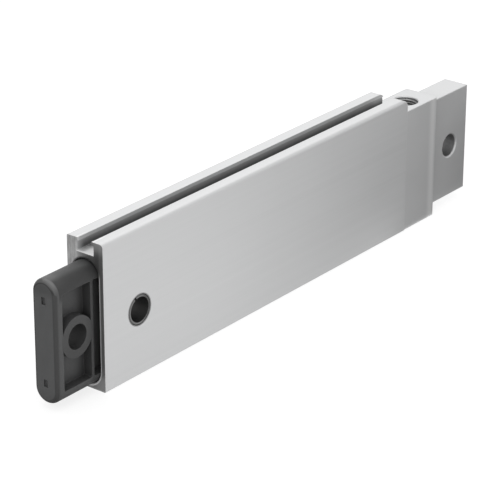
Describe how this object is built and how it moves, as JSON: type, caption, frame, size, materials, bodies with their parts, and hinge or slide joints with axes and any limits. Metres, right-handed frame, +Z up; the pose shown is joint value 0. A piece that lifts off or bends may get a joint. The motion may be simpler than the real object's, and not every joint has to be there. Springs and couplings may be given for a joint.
{
  "type": "flat actuator cylinder",
  "caption": "Flat single-acting pneumatic cylinder: oval moulded plunger with spring return, sensor slot along the top, cross holes for fixing and a threaded air port in the rear cap.",
  "frame": {"origin": "middle of the front mounting sleeve, on the axis of the bore", "axes": "+X along the stroke from the plunger end to the rear cap, +Y across the flat sides, +Z up to the sensor slot"},
  "size_m": [0.2119, 0.0138, 0.048],
  "materials": {
    "anodised_aluminium": "satin anodised",
    "cap_aluminium": "fine milled and anodised",
    "sleeve_steel": "plain spring steel",
    "plunger_plastic": "fine moulded texture",
    "bearing_plastic": "moulded",
    "seal_rubber": "moulded",
    "magnet_plating": "nickel plated",
    "fastener_steel": "turned",
    "spring_steel": "drawn wire"
  },
  "bodies": {
    "housing": {"barrel": "anodised_aluminium", "mounting_sleeve": "sleeve_steel", "rear_cap": "cap_aluminium", "cap_seal": "seal_rubber", "cap_pins": "fastener_steel", "end_cushion": "seal_rubber", "spring_seat": "bearing_plastic", "return_spring": "spring_steel"},
    "plunger_unit": {"plunger": "plunger_plastic", "guide_band": "bearing_plastic", "sensing_magnet": "magnet_plating", "piston_seal": "seal_rubber", "piston_plate": "cap_aluminium", "piston_screws": "fastener_steel", "spring_rod": "fastener_steel"}
  },
  "joints": [
    {"name": "plunger_slide", "type": "slide", "parent": "housing", "child": "plunger_unit", "axis": [-1, 0, 0], "range_m": [0, 0.04], "stiffness_N_per_m": 750, "springref_m": -0.012, "deforming": ["return_spring"]}
  ]
}
